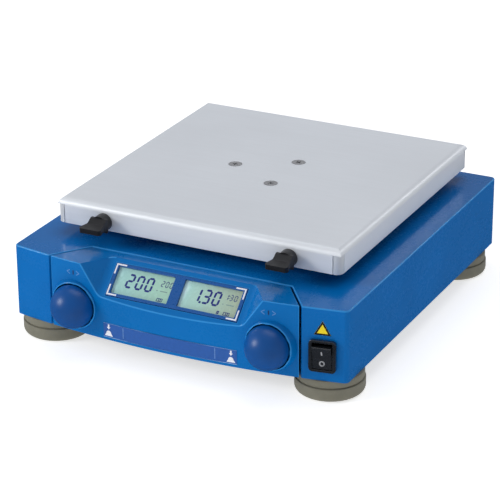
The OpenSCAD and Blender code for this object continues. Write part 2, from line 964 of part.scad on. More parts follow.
module power_inlet() {
    color([0.08, 0.08, 0.08]) at_inlet() difference() {
        union() {
            along_y(0, 3) round_rect([50, 33], 4);
            along_y(-22, 0.5) square([27.4, 30.4], center = true);
        }
        translate([0, 0, -pin_drop]) along_y(-16, 5) socket_outline(0);
        translate([0, 0, drawer_rise]) along_y(-20.5, 5) square([24.6, 6.6], center = true);
        pins_at(-24, -3);
        for (x = [-inlet_screw_x, inlet_screw_x]) translate([x, 0, 0]) along_y(-5, 5) circle(1.6);
    }
}

module pins_at(from, to) {
    translate([0, 0, -pin_drop]) for (spot = [[-7, -2], [7, -2], [0, 2]])
        translate([spot[0], 0, spot[1]]) along_y(from, to) square([2, 4], center = true);
}

module inlet_pins() {
    color("silver") at_inlet() pins_at(-24, -3);
}

module fuse_drawer() {
    color([0.12, 0.12, 0.12]) at_inlet() translate([0, 0, drawer_rise]) {
        difference() {
            along_y(-19.5, 3.4) square([24, 6], center = true);
            for (x = [-6, 6]) box([5.6, 17, 6], [x, -9, 1]);
        }
        along_y(3.4, 4) square([26, 7.4], center = true);
    }
}

module fuses() {
    color("lightcyan") at_inlet() for (x = [-6, 6])
        translate([x, 0, drawer_rise + 0.5]) along_y(-17.2, -0.8) circle(2.4);
}

module power_board() {
    color("darkgreen") at_front() {
        box([34, 130, 1.6], [-108, 130, 25]);
        box([30, 36, 28], [-108, 170, 39.8]);
        for (y = [92, 108, 124]) translate([-100, y, 25.6]) cylinder(r = 6, h = 22);
        box([12, 20, 14], [-118, 104, 32.8]);
        for (x = [-121, -95], y = [70, 190]) translate([x, y, floor_z]) cylinder(r = 2.6, h = 24.2 - floor_z);
    }
}

module serial_port() {
    color("silver") translate([serial_x, rear_y, serial_z]) {
        difference() {
            union() {
                along_y(0, 1) round_rect([31, 12.6], 1.5);
                along_y(-8, 0.5) square([19.6, 10.6], center = true);
                along_y(0.5, rear_reach) polygon([[-9, 4.2], [9, 4.2], [7.6, -4.2], [-7.6, -4.2]]);
            }
            along_y(2, 10) polygon([[-8, 3.4], [8, 3.4], [6.8, -3.4], [-6.8, -3.4]]);
        }
        for (x = [-12.5, 12.5]) translate([x, 0, 0]) along_y(1, 5.5) circle(2.7, $fn = 6);
    }
}

housing();
base_plate();
control_panel();
display_bezel();
bezel_marks();
lcd_left();
lcd_right();
display_board();
main_board();
ribbon_cable();
label_strip();
plain_sticker();
encoder_left();
encoder_right();
encoder_rotor_left();
encoder_rotor_right();
encoder_shaft_left();
encoder_shaft_right();
knob_left();
knob_right();
switch_frame();
power_rocker();
foot_front_left();
foot_front_right();
foot_rear_left();
foot_rear_right();
foot_screws();
foot_nuts();
case_screws();
drive_frame();
spindle_bearings();
shaft_seals();
guide_posts();
guide_bearings_lower();
motor_can();
motor_stator();
motor_rotor();
motor_pulley();
drive_belt();
drive_pulley();
counterweight();
crank_spindle();
guide_crank_left();
guide_crank_right();
guide_crank_front();
carrier();
eccentric_bearing();
guide_bearings_upper();
platform();
corner_posts();
platform_screws();
lever_studs();
clamp_lever_left();
clamp_lever_right();
power_inlet();
inlet_pins();
fuse_drawer();
fuses();
power_board();
serial_port();
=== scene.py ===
"""Looks for the orbital shaker: studio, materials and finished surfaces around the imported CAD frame."""

import math

import bmesh
import bpy
from mathutils import Matrix, Vector


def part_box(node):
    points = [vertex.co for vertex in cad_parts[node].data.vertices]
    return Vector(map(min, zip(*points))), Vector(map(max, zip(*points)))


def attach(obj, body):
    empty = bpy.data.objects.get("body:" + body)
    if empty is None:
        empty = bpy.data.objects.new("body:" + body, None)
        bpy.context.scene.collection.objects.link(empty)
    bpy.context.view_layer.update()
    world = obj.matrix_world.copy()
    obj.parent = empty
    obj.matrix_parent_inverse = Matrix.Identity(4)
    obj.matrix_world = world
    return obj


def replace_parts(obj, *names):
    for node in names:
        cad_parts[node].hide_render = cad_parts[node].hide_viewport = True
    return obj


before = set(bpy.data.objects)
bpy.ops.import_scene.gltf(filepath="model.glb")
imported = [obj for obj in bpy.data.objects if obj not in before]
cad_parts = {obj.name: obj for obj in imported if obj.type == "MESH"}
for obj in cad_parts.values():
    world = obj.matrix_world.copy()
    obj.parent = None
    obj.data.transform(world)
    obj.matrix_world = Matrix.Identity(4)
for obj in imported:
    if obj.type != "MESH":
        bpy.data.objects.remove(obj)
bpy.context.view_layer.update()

MM = 0.001
SIDE_DEPTH = 276                            # front corners to rear wall, millimetres
BOW = 13                                    # how far the front bows out past its corners
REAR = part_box("housing")[1].y / MM          # rear wall
FRONT = REAR - SIDE_DEPTH                   # line through the two front corners
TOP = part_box("housing")[1].z / MM           # top face of the housing
BOW_R = 676.65                              # radius of the bowed front
BOW_Y = FRONT + BOW_R - BOW                 # its centre
FACE_Y = FRONT - 12.4                       # plane of the knobs' centres and the foot of the display slope
SLOPE = Matrix.Translation((0, FACE_Y, 47)) @ Matrix.Rotation(math.radians(44), 4, "X")

LCD_TOP = -1.8                              # face of the displays, out of the slope
INK_LOW = LCD_TOP - 0.02                    # what the displays show starts just inside their face
INK_HIGH = LCD_TOP + 0.05
GHOST_HIGH = LCD_TOP + 0.04
SLANT = 0.09                                # lean of the digits

FOOT_X = 110
FOOT_FRONT_Y, FOOT_REAR_Y = FRONT + 19.5, FRONT + 248
KNOB_X, KNOB_Z = 77.2, 37.8
KNOB_R, KNOB_WALL, KNOB_BACK = 16.1, 2.4, -3.8
SWITCH_X, SWITCH_Z = 114.8, 35.8
ROCKER_AXIS_DEPTH = 3.4                     # behind the bowed face
ROCKER_TILT = 9                             # degrees from level at rest
STRIP_HALF = 53                             # the label strip's printed lines, either side of the middle
STRIP_DIVIDER_X, PUSH_MARK_X = 36.5, 48.6
TURN_MARK_Z = 62.2
STICKER_X, STICKER_LOW, STICKER_SIDE = 114.4, 50.9, 12.0

CAMERA_PLACE = (0.694589, -1.389406, 0.708560)          # metres
CAMERA_YAW, CAMERA_PITCH, CAMERA_ROLL = -26.754, 23.223, -0.283
CAMERA_LENS = 162.92


# ---------------------------------------------------------------- materials

class Graph:
    """A principled material with short calls for the nodes that feed it."""

    def __init__(self, name, colour, roughness, metallic=0.0, **sockets):
        self.material = bpy.data.materials.new(name)
        self.material.use_nodes = True
        self.tree = self.material.node_tree
        self.shader = self.tree.nodes["Principled BSDF"]
        self.shader.inputs["Base Color"].default_value = (*colour, 1)
        self.shader.inputs["Roughness"].default_value = roughness
        self.shader.inputs["Metallic"].default_value = metallic
        for key, value in sockets.items():
            socket = key.replace("_", " ").title().replace("Ior", "IOR")
            self.shader.inputs[socket].default_value = value
        self.place = self.tree.nodes.new("ShaderNodeTexCoord").outputs["Object"]

    def link(self, out, socket):
        self.tree.links.new(out, self.shader.inputs[socket])

    def stretched(self, scale):
        mapping = self.tree.nodes.new("ShaderNodeMapping")
        mapping.inputs["Scale"].default_value = scale
        self.tree.links.new(self.place, mapping.inputs["Vector"])
        return mapping.outputs["Vector"]

    def noise(self, scale, detail=3.0, rough=0.5, stretch=None, distortion=0.0):
        node = self.tree.nodes.new("ShaderNodeTexNoise")
        node.inputs["Scale"].default_value = scale
        node.inputs["Detail"].default_value = detail
        node.inputs["Roughness"].default_value = rough
        node.inputs["Distortion"].default_value = distortion
        source = self.stretched(stretch) if stretch else self.place
        self.tree.links.new(source, node.inputs["Vector"])
        return node.outputs["Fac"]

    def cells(self, scale, feature="F1"):
        node = self.tree.nodes.new("ShaderNodeTexVoronoi")
        node.feature = feature
        node.inputs["Scale"].default_value = scale
        self.tree.links.new(self.place, node.inputs["Vector"])
        return node.outputs["Distance"]

    def axis(self, name):
        node = self.tree.nodes.new("ShaderNodeSeparateXYZ")
        self.tree.links.new(self.place, node.inputs[0])
        return node.outputs[name]

    def spread(self, value, low, high, to_low, to_high):
        node = self.tree.nodes.new("ShaderNodeMapRange")
        self.tree.links.new(value, node.inputs["Value"])
        for key, number in zip(("From Min", "From Max", "To Min", "To Max"), (low, high, to_low, to_high)):
            node.inputs[key].default_value = number
        return node.outputs["Result"]

    def ramp(self, value, stops):
        node = self.tree.nodes.new("ShaderNodeValToRGB")
        ends = node.color_ramp.elements
        while len(ends) < len(stops):
            ends.new(0.5)
        for end, (at, colour) in zip(ends, stops):
            end.position = at
            end.color = (*colour, 1)
        self.tree.links.new(value, node.inputs["Fac"])
        return node.outputs["Color"]

    def combine(self, first, second, operation="ADD"):
        node = self.tree.nodes.new("ShaderNodeMath")
        node.operation = operation
        for socket, value in zip(node.inputs, (first, second)):
            self.tree.links.new(value, socket)
        return node.outputs[0]

    def bump(self, height, depth, strength=1.0):
        node = self.tree.nodes.new("ShaderNodeBump")
        node.inputs["Distance"].default_value = depth
        node.inputs["Strength"].default_value = strength
        self.tree.links.new(height, node.inputs["Height"])
        self.link(node.outputs["Normal"], "Normal")


def tint(colour, factor):
    return tuple(min(1.0, c * factor) for c in colour)


def coated_blue(name, colour, low, high):
    """Glossy blue with a faint orange peel, handled patches and a little uneven depth of colour."""
    g = Graph(name, colour, low, coat_weight=0.3, coat_roughness=0.08, specular_ior_level=0.12)
    drift = g.noise(14, 3, 0.55)
    g.link(g.ramp(drift, [(0.3, tint(colour, 0.93)), (0.7, tint(colour, 1.06))]), "Base Color")
    smears = g.noise(26, 6, 0.65, stretch=(1, 1, 2.2), distortion=0.6)
    grit = g.noise(700, 2)
    gloss = g.combine(g.spread(smears, 0.3, 0.75, low, high), g.spread(grit, 0.35, 0.65, -0.01, 0.01))
    g.link(gloss, "Roughness")
    g.bump(g.noise(420, 2, 0.4), 0.0000025)
    return g.material


def knob_blue():
    """Moulded satin plastic with a fine spark-eroded grain."""
    colour = (0.0, 0.075, 0.30)
    g = Graph("knob_blue", colour, 0.34, specular_ior_level=0.4)
    g.link(g.ramp(g.noise(40, 3), [(0.3, tint(colour, 0.9)), (0.7, tint(colour, 1.1))]), "Base Color")
    g.link(g.spread(g.noise(90, 5, 0.6), 0.3, 0.7, 0.3, 0.38), "Roughness")
    g.bump(g.combine(g.noise(1500, 2), g.cells(1800)), 0.000006)
    return g.material


def moulded(name, colour, low, high, grain=1500, depth=0.00003, coat=0.0):
    """Plain moulding: pitted grain, slightly uneven gloss, a faint bloom."""
    g = Graph(name, colour, low, coat_weight=coat, coat_roughness=0.1)
    drift = g.noise(55, 4, 0.6)
    g.link(g.ramp(drift, [(0.3, tint(colour, 0.85)), (0.72, tint(colour, 1.2))]), "Base Color")
    g.link(g.spread(g.noise(160, 4, 0.6), 0.3, 0.7, low, high), "Roughness")
    g.bump(g.combine(g.noise(grain, 3), g.cells(grain * 0.7)), depth)
    return g.material


def foot_rubber():
    """Grey-beige rubber: chalky bloom, fine turning marks round the foot, specks."""
    colour = (0.21, 0.2, 0.15)
    g = Graph("foot_rubber", colour, 0.6, sheen_weight=0.1, sheen_roughness=0.5, specular_ior_level=0.3)
    bloom = g.noise(38, 6, 0.65)
    stops = [(0.28, tint(colour, 0.82)), (0.55, colour), (0.8, tint(colour, 1.22))]
    g.link(g.ramp(bloom, stops), "Base Color")
    g.link(g.spread(g.noise(220, 4), 0.3, 0.7, 0.5, 0.72), "Roughness")
    rings = g.noise(120, 2, 0.5, stretch=(1, 1, 26))
    g.bump(g.combine(rings, g.noise(2200, 3)), 0.00004)
    return g.material


def sheet_metal(name, colour, low, high, stretch, depth=0.000004, anisotropy=0.35, metal=1.0):
    """Rolled and clear anodised sheet: long fine grain one way, soft clouds in the gloss."""
    g = Graph(name, colour, low, metallic=metal, anisotropic=anisotropy)
    grain = g.noise(55, 5, 0.7, stretch=stretch)
    cloud = g.noise(9, 3, 0.5)
    stops = [(0.1, tint(colour, 0.965)), (0.42, tint(colour, 1.02))]
    g.link(g.ramp(g.combine(grain, cloud, "MULTIPLY"), stops), "Base Color")
    gloss = g.combine(g.spread(grain, 0.3, 0.7, low, high), g.spread(cloud, 0.3, 0.7, -0.02, 0.03))
    g.link(gloss, "Roughness")
    g.bump(g.combine(grain, g.noise(2600, 2, 0.5), "MULTIPLY"), depth)
    return g.material


def turned_metal(name, colour, low, high, axis="Z"):
    """Turned or ground metal: fine rings round the axis, faint handling marks."""
    g = Graph(name, colour, low, metallic=1.0)
    stretch = {"Z": (1, 1, 30), "Y": (1, 30, 1)}[axis]
    rings = g.noise(150, 3, 0.6, stretch=stretch)
    marks = g.noise(60, 6, 0.7, distortion=0.8)
    g.link(g.ramp(marks, [(0.3, tint(colour, 0.85)), (0.7, tint(colour, 1.05))]), "Base Color")
    gloss = g.combine(g.spread(rings, 0.3, 0.7, low, high), g.spread(marks, 0.4, 0.7, -0.03, 0.08))
    g.link(gloss, "Roughness")
    g.bump(rings, 0.00001)
    return g.material


def cast_metal(name, colour):
    """Sand-textured casting with a machined sheen."""
    g = Graph(name, colour, 0.45, metallic=1.0)
    g.link(g.ramp(g.noise(70, 5, 0.6), [(0.3, tint(colour, 0.8)), (0.7, tint(colour, 1.05))]), "Base Color")
    g.link(g.spread(g.noise(240, 4), 0.3, 0.7, 0.35, 0.6), "Roughness")
    g.bump(g.combine(g.noise(900, 4, 0.6), g.cells(700)), 0.00006)
    return g.material


def circuit_board():
    """Green solder mask with copper runs showing through as a lighter net."""
    g = Graph("circuit_board", (0.01, 0.1, 0.035), 0.3, coat_weight=0.4, coat_roughness=0.15)
    runs = g.cells(260, "DISTANCE_TO_EDGE")
    g.link(g.ramp(runs, [(0.02, (0.05, 0.24, 0.08)), (0.09, (0.008, 0.085, 0.03))]), "Base Color")
    g.link(g.spread(g.noise(300, 3), 0.3, 0.7, 0.25, 0.4), "Roughness")
    g.bump(runs, 0.00003)
    return g.material


def winding_copper():
    """Enamelled wire laid side by side."""
    colour = (0.55, 0.2, 0.07)
    g = Graph("winding_copper", colour, 0.3, metallic=0.9, coat_weight=0.5)
    turns = g.noise(90, 2, 0.5, stretch=(1, 1, 22))
    g.link(g.ramp(turns, [(0.35, tint(colour, 0.55)), (0.6, tint(colour, 1.15))]), "Base Color")
    g.bump(turns, 0.0002)
    return g.material


def display_glass(name, left, right, x_from, x_to):
    """Liquid crystal cell under a glossy face: its colour drifts to the right, from a paler left edge."""
    g = Graph(name, left, 0.25, coat_weight=0.6, coat_roughness=0.05)
    drift = g.spread(g.axis("X"), x_from * MM, x_to * MM, 0.0, 1.0)
    uneven = g.combine(drift, g.spread(g.noise(120, 3), 0.3, 0.7, -0.06, 0.06))
    edge = tuple(min(1.0, c * 1.35 + 0.1) for c in left)
    g.link(g.ramp(uneven, [(0.0, edge), (0.09, left), (1.0, right)]), "Base Color")
    g.link(g.spread(g.noise(400, 2), 0.3, 0.7, 0.2, 0.32), "Roughness")
    g.bump(g.noise(3000, 2), 0.000004)
    return g.material


def printed(name, colour, roughness=0.42):
    """Screen print or film: a very slight stipple."""
    g = Graph(name, colour, roughness)
    g.link(g.ramp(g.noise(500, 3), [(0.3, tint(colour, 0.93)), (0.7, tint(colour, 1.05))]), "Base Color")
    g.link(g.spread(g.noise(900, 2), 0.3, 0.7, roughness - 0.06, roughness + 0.08), "Roughness")
    g.bump(g.noise(4000, 2), 0.000004)
    return g.material


def floor_white():
    """Seamless studio floor: nearly white, and just uneven enough not to look like paper."""
    g = Graph("floor_white", (0.86, 0.86, 0.86), 0.75, emission_strength=0.6)
    g.shader.inputs["Emission Color"].default_value = (1, 1, 1, 1)
    g.link(g.ramp(g.noise(3, 3), [(0.3, (0.85, 0.85, 0.855)), (0.7, (0.88, 0.88, 0.88))]), "Base Color")
    return g.material


BLUE_HOUSING = coated_blue("blue_housing", (0.0, 0.142, 0.46), 0.24, 0.3)
BLUE_PANEL = coated_blue("blue_panel", (0.0, 0.155, 0.48), 0.26, 0.32)
# Lighter blue for the rounded edges of housing and panel: a painted highlight along those edges, not a
# paint of its own.
BLUE_PAINTED_EDGE_HIGHLIGHT = coated_blue("blue_painted_edge_highlight", (0.03, 0.27, 0.66), 0.2, 0.26)
KNOB = knob_blue()
BLACK = moulded("black_moulding", (0.009, 0.009, 0.011), 0.34, 0.5)
BLACK_GLOSS = moulded("black_switch", (0.012, 0.014, 0.018), 0.2, 0.32, 2600, 0.000004, coat=0.8)
WHITE_PLASTIC = moulded("white_acetal", (0.72, 0.72, 0.7), 0.35, 0.5)
CABLE = moulded("flat_cable", (0.42, 0.42, 0.41), 0.4, 0.6, 900, 0.00008)
BELT = moulded("belt_rubber", (0.014, 0.014, 0.014), 0.6, 0.8, 1200, 0.00008)
RUBBER = foot_rubber()
TRAY = sheet_metal("tray_top", (0.86, 0.89, 0.93), 0.36, 0.44, (0.5, 9, 9), anisotropy=0.0, metal=0.2)
POST = sheet_metal("tray_corner", (0.86, 0.88, 0.89), 0.26, 0.36, (9, 9, 0.5), metal=0.3)
PLATE = sheet_metal("zinc_sheet", (0.55, 0.56, 0.58), 0.32, 0.5, (0.6, 7, 7), 0.00001)
STEEL = turned_metal("ground_steel", (0.66, 0.66, 0.67), 0.18, 0.3)
STEEL_Y = turned_metal("turned_steel", (0.66, 0.66, 0.67), 0.18, 0.3, "Y")
BRASS = turned_metal("brass", (0.72, 0.50, 0.18), 0.25, 0.38)
CAST = cast_metal("cast_aluminium", (0.58, 0.59, 0.61))
COPPER = winding_copper()
BOARD = circuit_board()
BEZEL = printed("bezel_film", (0.004, 0.09, 0.34), 0.3)
LABEL = printed("label_film", (0.018, 0.11, 0.42), 0.34)
LINE_WHITE = printed("white_print", (0.86, 0.87, 0.92))
LINE_PALE = printed("pale_print", (0.24, 0.43, 0.76))
LINE_FAINT = printed("faint_print", (0.11, 0.28, 0.6))
MARK_GREY = printed("switch_print", (0.33, 0.34, 0.36))
INK_DARK = printed("dark_print", (0.01, 0.03, 0.12))
DIGIT_DARK = printed("segment_dark", (0.016, 0.028, 0.21), 0.3)
DIGIT_FAINT = printed("segment_faint", (0.10, 0.14, 0.25), 0.3)
DIGIT_GHOST = printed("segment_ghost", (0.22, 0.34, 0.33), 0.3)
LCD_LEFT = display_glass("lcd_left_cell", (0.40, 0.70, 0.66), (0.42, 0.68, 0.52), -50, -4)
LCD_RIGHT = display_glass("lcd_right_cell", (0.45, 0.75, 0.68), (0.43, 0.52, 0.38), 4, 50)
YELLOW = printed("sticker_yellow", (0.95, 0.72, 0.0), 0.32)


def dress(material, *nodes):
    """Gives carried-over CAD nodes their material."""
    for node in nodes:
        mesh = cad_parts[node].data
        mesh.materials.clear()
        mesh.materials.append(material)


# ---------------------------------------------------------------- mesh tools

def finish_mesh(bm, name, material, body, sharp=32, weighted=False, edge=None):
    """Turns a bmesh in metres into a shaded piece that rides on a body."""
    bmesh.ops.recalc_face_normals(bm, faces=bm.faces)
    mesh = bpy.data.meshes.new(name)
    bm.to_mesh(mesh)
    bm.free()
    for layer in ("custom_normal", "sharp_edge", "sharp_face"):
        found = mesh.attributes.get(layer)
        if found:
            mesh.attributes.remove(found)
    mesh.materials.append(material)
    # A second material, when given, is the painted highlight for rounded edges.
    if edge:
        mesh.materials.append(edge)
    mesh.shade_smooth()
    mesh.set_sharp_from_angle(angle=math.radians(sharp))
    obj = bpy.data.objects.new(name, mesh)
    bpy.context.scene.collection.objects.link(obj)
    if weighted:
        normals = obj.modifiers.new("even shading", "WEIGHTED_NORMAL")
        normals.keep_sharp = True
        normals.weight = 100
    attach(obj, body)
    return obj


def convex(edge):
    """True where the solid turns outward over an edge."""
    first, second = edge.link_faces
    return (second.calc_center_median() - first.calc_center_median()).dot(first.normal) < 0


def softened(node, name, material, body, width, pick=None, segments=3, turn=24,
             clamp=True, edge=None):
    """A copy of a CAD node with its outer edges rounded, in their own material if one is given; that
    material paints a highlight along the rounded edges.
    """
    bm = bmesh.new()
    bm.from_mesh(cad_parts[node].data)
    bmesh.ops.remove_doubles(bm, verts=bm.verts, dist=0.000004)
    bmesh.ops.dissolve_limit(bm, angle_limit=math.radians(0.25), verts=bm.verts, edges=bm.edges)
    bm.normal_update()
    chosen = [
        e for e in bm.edges
        if len(e.link_faces) == 2 and e.calc_face_angle() > math.radians(turn) and convex(e)
        and (pick is None or pick((e.verts[0].co + e.verts[1].co) / 2 / MM))
    ]
    made = bmesh.ops.bevel(bm, geom=chosen, offset=width * MM, offset_type="OFFSET", segments=segments,
                           profile=0.5, affect="EDGES", clamp_overlap=clamp)
    # The new rounded faces take the painted highlight material.
    if edge:
        for face in made["faces"]:
            face.material_index = 1
    bmesh.ops.triangulate(bm, faces=[f for f in bm.faces if len(f.verts) > 4])
    obj = finish_mesh(bm, name, material, body, weighted=True, edge=edge)
    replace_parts(obj, node)
    return obj


def prism(bm, outline, low, high, matrix=Matrix()):
    """Adds a closed prism: an outline in X and Y, from low to high along Z, in millimetres."""
    rings = []
    for z in (low, high):
        rings.append([bm.verts.new(matrix @ Vector((x, y, z)) * MM) for x, y in outline])
    bm.faces.new(list(reversed(rings[0])))
    bm.faces.new(rings[1])
    count = len(outline)
    for i in range(count):
        j = (i + 1) % count
        bm.faces.new((rings[0][i], rings[0][j], rings[1][j], rings[1][i]))


def on_bow(x, z, proud):
    """Point on the bowed front at x and z, moved out by proud."""
    reach = BOW_R + proud
    bearing = math.asin(x / BOW_R)
    return Vector((reach * math.sin(bearing), BOW_Y - reach * math.cos(bearing), z))


def bow_patch(bm, outline, inner, outer):
    """Adds a thin print on the bowed front: an outline in x and z, from inner to outer out of the face."""
    rings = [[bm.verts.new(on_bow(x, z, proud) * MM) for x, z in outline] for proud in (inner, outer)]
    bm.faces.new(rings[0])
    bm.faces.new(list(reversed(rings[1])))
    count = len(outline)
    for i in range(count):
        j = (i + 1) % count
        bm.faces.new((rings[0][i], rings[1][i], rings[1][j], rings[0][j]))


def stroke(start, end, width):
    """Outline of a straight stroke."""
    a, b = Vector(start), Vector(end)
    side = (b - a).normalized().orthogonal() * width / 2
    return [tuple(a + side), tuple(b + side), tuple(b - side), tuple(a - side)]


def circle_points(centre, radius, count, start=0.0, sweep=360.0):
    """Points round a circle, or along part of one with both its ends."""
    whole = abs(sweep) >= 360
    steps = count if whole else count - 1
    return [
        (centre[0] + radius * math.cos(math.radians(start + sweep * i / steps)),
         centre[1] + radius * math.sin(math.radians(start + sweep * i / steps)))
        for i in range(count)
    ]


def lathe(profile, steps, matrix):
    """A solid of revolution round Z from (radius, height) points, in millimetres."""
    bm = bmesh.new()
    rings = []
    for radius, height in profile:
        if radius < 1e-6:
            rings.append([bm.verts.new(matrix @ Vector((0, 0, height)) * MM)])
        else:
            rings.append([
                bm.verts.new(matrix @ Vector((radius * math.cos(2 * math.pi * i / steps),
                                              radius * math.sin(2 * math.pi * i / steps), height)) * MM)
                for i in range(steps)
            ])
    for lower, upper in zip(rings, rings[1:]):
        for i in range(steps):
            j = (i + 1) % steps
            corners = [lower[i % len(lower)], lower[j % len(lower)],
                       upper[j % len(upper)], upper[i % len(upper)]]
            corners = list(dict.fromkeys(corners))      # a ring of one point closes the end
            if len(corners) > 2:
                bm.faces.new(corners)
    return bm


def arc(centre, radius, start, end, count):
    """Points on an arc in the (radius, height) plane, angles in degrees from the radius axis."""
    return circle_points(centre, radius, count, start, end - start)


# ---------------------------------------------------------------- housing and panel

def housing_edges(point):
    """Edges of the housing's top face; its uprights, the panel seam and the cut-outs stay crisp."""
    return point.z > TOP - 0.2 and point.y > FRONT - 20


def panel_edges(point):
    """Edges of the panel's visible face: the top rim, the seams and the lips of the display recess."""
    return point.y < FRONT + 21.5 and point.z > 16.6


def build_housing():
    # The lighter blue on the rounded top edges, seams and recess lips is a painted highlight.
    softened("housing", "housing_shell", BLUE_HOUSING, "base", 0.9, housing_edges,
             clamp=False, edge=BLUE_PAINTED_EDGE_HIGHLIGHT)
    softened("control_panel", "panel_shell", BLUE_PANEL, "base", 0.6, panel_edges,
             clamp=False, edge=BLUE_PAINTED_EDGE_HIGHLIGHT)
    softened("base_plate", "base_cover", PLATE, "base", 0.4)


def build_feet():
    """Rubber feet: rounded tread edge, a groove under the collar, a recess for the screw."""
    profile = [
        (3.0, 6.0), (6.0, 6.0), *arc((6.6, 0.6), 0.6, 180, 270, 4), *arc((20.6, 4.4), 4.4, 270, 360, 10),
        (25.0, 9.4), *arc((24.5, 9.9), 0.5, 0, 70, 4), (23.5, 10.5), (23.4, 11.1),
        *arc((23.9, 11.6), 0.4, 250, 360, 4), *arc((23.6, 15.9), 0.6, 0, 90, 4), (3.0, 16.5), (3.0, 6.0)
    ]
    for side_name, x in (("left", -FOOT_X), ("right", FOOT_X)):
        for end_name, y in (("front", FOOT_FRONT_Y), ("rear", FOOT_REAR_Y)):
            node = f"foot_{end_name}_{side_name}"
            bm = lathe(profile, 96, Matrix.Translation((x, y, 0)))
            bmesh.ops.remove_doubles(bm, verts=bm.verts, dist=1e-7)
            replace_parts(finish_mesh(bm, f"{node}_rubber", RUBBER, "base", 40), node)


def build_knobs():
    """Domed knobs with a small step at the skirt, hollow behind for the shaft."""
    hollow = KNOB_R - KNOB_WALL
    round_off = 0.4
    inside = [(0.0, hollow), *arc((0, 0), hollow, 88, 0, 14), (hollow, KNOB_BACK)]
    outside = [*arc((KNOB_R - round_off, KNOB_BACK + round_off), round_off, 270, 360, 4),
               *arc((0, 0), KNOB_R, 0, 90, 40)]
    for side_name, side in (("left", -1), ("right", 1)):
        centre = Matrix.Translation((KNOB_X * side, FACE_Y, KNOB_Z))
        place = centre @ Matrix.Rotation(math.radians(90), 4, "X")
        bm = lathe([*inside, *outside], 128, place)
        knob = finish_mesh(bm, f"knob_{side_name}_dome", KNOB, f"dial_{side_name}", 40)
        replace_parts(knob, f"knob_{side_name}")


# ---------------------------------------------------------------- displays

SEGMENTS = {
    "0": "abcdef", "1": "bc", "2": "abged", "3": "abgcd", "4": "fgbc", "5": "afgcd",
    "6": "afgedc", "7": "abc", "8": "abcdefg", "9": "abfgcd"
}


def segment_outline(letter, width, height, thick):
    """Hexagonal outline of one segment in a digit's own box."""
    half, gap = thick / 2, thick * 0.12
    middle = height / 2
    spans = {
        "a": ((half, height - half), (width - half, height - half)),
        "d": ((half, half), (width - half, half)),
        "g": ((half, middle), (width - half, middle)),
        "f": ((half, middle), (half, height - half)),
        "e": ((half, half), (half, middle)),
        "b": ((width - half, middle), (width - half, height - half)),
        "c": ((width - half, half), (width - half, middle)),
    }
    (ax, ay), (bx, by) = spans[letter]
    if ay == by:
        return [(ax + gap, ay), (ax + half, ay - half), (bx - half, ay - half), (bx - gap, ay),
                (bx - half, ay + half), (ax + half, ay + half)]
    return [(ax, ay + gap), (ax + half, ay + half), (ax + half, by - half), (ax, by - gap),
            (ax - half, by - half), (ax - half, ay + half)]


def slanted(outline, corner):
    """An outline moved to its corner, leaning as the digits do."""
    return [(corner[0] + x + y * SLANT, corner[1] + y) for x, y in outline]


def write_digits(bm, text, corner, width, height, thick, pitch):
    """Adds seven-segment digits on the slope; a point or a colon takes little room."""
    x = corner[0]
    for sign in text:
        if sign in ".:":
            spots = [0.0] if sign == "." else [height * 0.26, height * 0.62]
            for up in spots:
                dot = [(0, 0), (thick, 0), (thick, thick), (0, thick)]
                spot = (x - pitch + width + thick * 0.25 + up * SLANT, corner[1] + up)
                prism(bm, slanted(dot, spot), INK_LOW, INK_HIGH, SLOPE)
            continue
        for letter in SEGMENTS[sign]:
            outline = slanted(segment_outline(letter, width, height, thick), (x, corner[1]))
            prism(bm, outline, INK_LOW, INK_HIGH, SLOPE)
        x += pitch


def icon_box(bm, corner, width, height):
    """A small generic status mark: a frame with two bars."""
    line = 0.45
    bars = [
        (0, 0, width, line), (0, height - line, width, height), (0, 0, line, height),
        (width - line, 0, width, height), (width * 0.36, line, width * 0.48, height - line),
        (width * 0.62, line, width * 0.74, height - line)
    ]
    for left, low, right, high in bars:
        outline = [(left, low), (right, low), (right, high), (left, high)]
        prism(bm, slanted(outline, corner), INK_LOW, INK_HIGH, SLOPE)


def display_piece(name, material, draw):
    bm = bmesh.new()
    draw(bm)
    return finish_mesh(bm, name, material, "base", 20)


def build_displays():
    """Bezel, the two cells and what they show: generic digits and marks, with no lettering."""
    softened("display_bezel", "bezel_frame", BEZEL, "base", 0.3)
    dress(LINE_WHITE, "bezel_marks")
    dress(LCD_LEFT, "lcd_left")
    dress(LCD_RIGHT, "lcd_right")
    low, margin = 13.3, 8.0
    left, right = -49.2 + margin, 4.0 + margin
    large = (5.9, 11.2, 1.55, 7.7)          # width, height, stroke, pitch
    small = (2.5, 4.8, 0.72)                # width, height, stroke
    display_piece("digits_left", DIGIT_DARK,
                  lambda bm: write_digits(bm, "200", (left, low), *large))
    display_piece("digits_right", DIGIT_DARK,
                  lambda bm: write_digits(bm, "1.30", (right, low), *large))
    display_piece("digits_left_small", DIGIT_FAINT,
                  lambda bm: write_digits(bm, "200", (left + 27.2, low + 6.0), *small, 3.4))
    display_piece("digits_right_small", DIGIT_FAINT,
                  lambda bm: write_digits(bm, "1:30", (right + 24.4, low + 6.0), *small, 3.5))
    display_piece("icon_left", DIGIT_DARK, lambda bm: icon_box(bm, (left + 27.6, 8.2), 4.6, 2.6))

    def right_marks(bm):
        icon_box(bm, (right + 27.0, 8.0), 4.8, 2.6)
        icon_box(bm, (right + 21.8, 8.2), 1.8, 2.3)
    display_piece("icon_right", DIGIT_DARK, right_marks)

    def ghost_marks(bm):
        for x, width in ((left + 25.2, 1.1), (left + 28.4, 5.6), (right + 24.0, 1.1), (right + 27.2, 5.8)):
            prism(bm, slanted([(0, 0), (width, 0), (width, 0.7), (0, 0.7)], (x, low + 2.4)),
                  INK_LOW, GHOST_HIGH, SLOPE)
    display_piece("marks_ghost", DIGIT_GHOST, ghost_marks)


# ---------------------------------------------------------------- prints on the front

